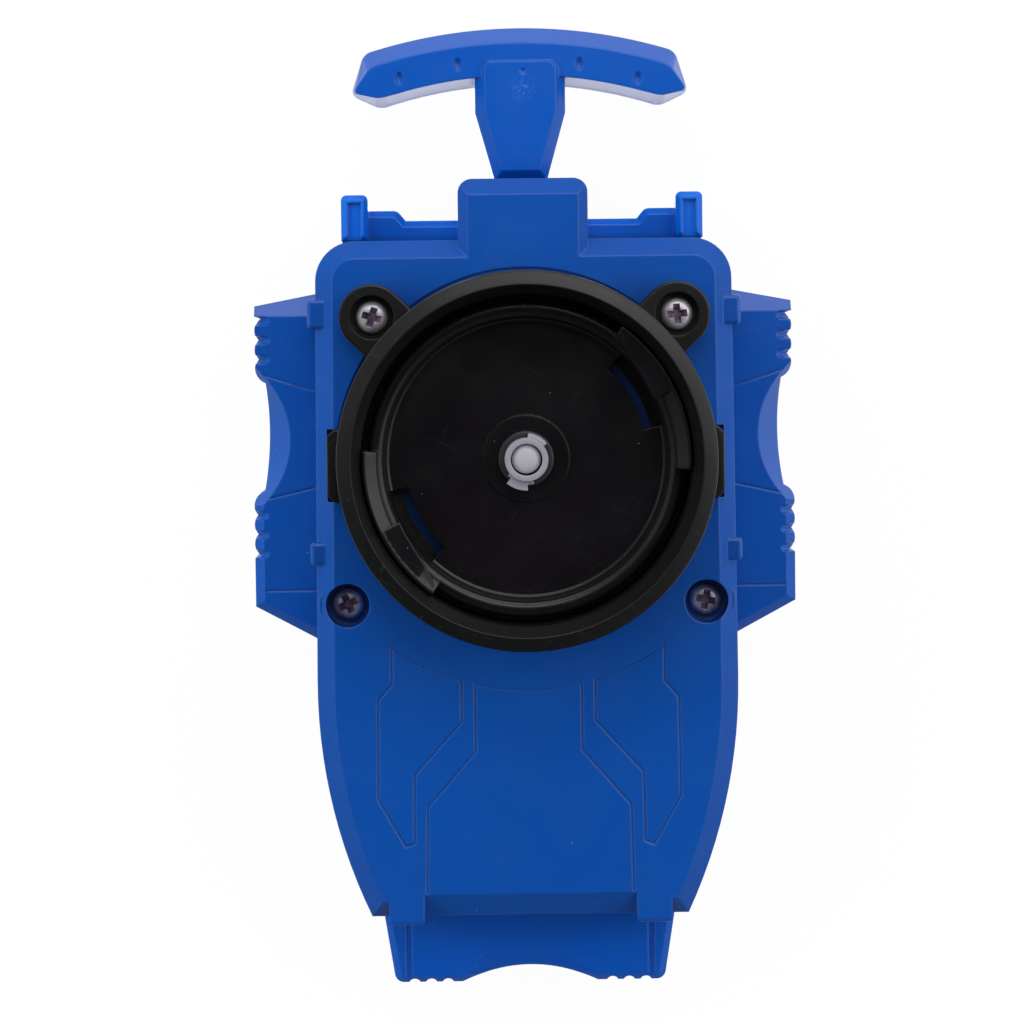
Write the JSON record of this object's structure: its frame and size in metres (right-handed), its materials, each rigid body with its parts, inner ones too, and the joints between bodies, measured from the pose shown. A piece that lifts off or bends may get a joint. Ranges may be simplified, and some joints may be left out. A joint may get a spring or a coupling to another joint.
{
  "type": "spinning top string launcher",
  "caption": "Hand-held pull-string launcher for spinning tops: T-handle on a cord drives a geared hook turret in a round guard cup.",
  "frame": {"origin": "on the cup's axis, at the flat back face that the launcher lies on", "axes": "+Z out of the cup, +Y towards the pull handle, +X to the right seen from the cup side"},
  "size_m": [0.0692, 0.1223, 0.038],
  "materials": {
    "case_blue": "satin",
    "grip_blue": "satin",
    "lug_blue": "satin",
    "handle_blue": "satin",
    "ring_black": "satin",
    "disc_black": "semi-gloss",
    "collar_grey": "matte",
    "turret_white": "satin",
    "screw_steel": "bright zinc",
    "shaft_steel": "ground",
    "spring_steel": "blued",
    "bush_acetal": "smooth",
    "gear_nylon": "smooth",
    "drum_grey": "satin",
    "pull_string": "braided"
  },
  "bodies": {
    "housing": {"back_shell": "case_blue", "front_shell": "case_blue", "left_grip": "grip_blue", "right_grip": "grip_blue", "rear_lug": "lug_blue", "guard_ring": "ring_black", "ring_screws": "screw_steel", "case_screws": "screw_steel", "drum_axle": "shaft_steel", "idler_axle": "shaft_steel", "turret_bush": "bush_acetal", "string_guide": "bush_acetal", "string_run": "pull_string"},
    "handle": {"handle_front": "handle_blue", "handle_back": "handle_blue", "string_knot": "pull_string", "string_lead": "pull_string"},
    "drum": {"string_drum": "drum_grey", "drum_cap": "drum_grey", "string_coil": "pull_string", "rewind_spring": "spring_steel"},
    "gear": {"drum_gear": "gear_nylon"},
    "pawl_first": {"pawl_a": "bush_acetal"},
    "pawl_second": {"pawl_b": "bush_acetal"},
    "idler": {"idler_gear": "gear_nylon"},
    "turret": {"turret_shaft": "turret_white", "hook_disc": "disc_black", "hub_collar": "collar_grey"},
    "plunger": {"center_pin": "turret_white", "plunger_spring": "spring_steel"}
  },
  "joints": [
    {"name": "handle_pull", "type": "slide", "parent": "housing", "child": "handle", "axis": [0, 1, 0], "range_m": [0, 0.45], "stiffness_N_per_m": 6, "springref_m": -0.3, "deforming": ["string_lead"]},
    {"name": "drum_spin", "type": "hinge", "parent": "housing", "child": "drum", "pos_m": [0, -0.033, 0.011], "axis": [0, 0, 1], "range_deg": [0, 2578.8], "deforming": ["rewind_spring"]},
    {"name": "gear_spin", "type": "hinge", "parent": "housing", "child": "gear", "pos_m": [0, -0.033, 0.019], "axis": [0, 0, 1], "range_deg": [0, 2578.8]},
    {"name": "idler_spin", "type": "hinge", "parent": "housing", "child": "idler", "pos_m": [-0.00291, -0.00998, 0.019], "axis": [0, 0, 1], "continuous": true},
    {"name": "turret_spin", "type": "hinge", "parent": "housing", "child": "turret", "pos_m": [0, 0, 0.019], "axis": [0, 0, 1], "continuous": true},
    {"name": "pawl_a_swing", "type": "hinge", "parent": "drum", "child": "pawl_first", "pos_m": [-0.00451, -0.02374, 0.0155], "axis": [0, 0, 1], "range_deg": [-14, 0], "stiffness_Nm_per_rad": 0.0001, "springref_deg": 8.59},
    {"name": "pawl_b_swing", "type": "hinge", "parent": "drum", "child": "pawl_second", "pos_m": [0.00451, -0.04226, 0.0155], "axis": [0, 0, 1], "range_deg": [-14, 0], "stiffness_Nm_per_rad": 0.0001, "springref_deg": 8.59},
    {"name": "center_pin_press", "type": "slide", "parent": "turret", "child": "plunger", "axis": [0, 0, -1], "range_m": [0, 0.0025], "stiffness_N_per_m": 100, "springref_m": -0.004, "deforming": ["plunger_spring"]}
  ],
  "couplings": [
    {"joint": "drum_spin", "follows": "handle_pull", "rad_per_m": 100},
    {"joint": "gear_spin", "follows": "handle_pull", "rad_per_m": 100},
    {"joint": "idler_spin", "follows": "handle_pull", "rad_per_m": -314.29},
    {"joint": "turret_spin", "follows": "handle_pull", "rad_per_m": 366.67}
  ]
}
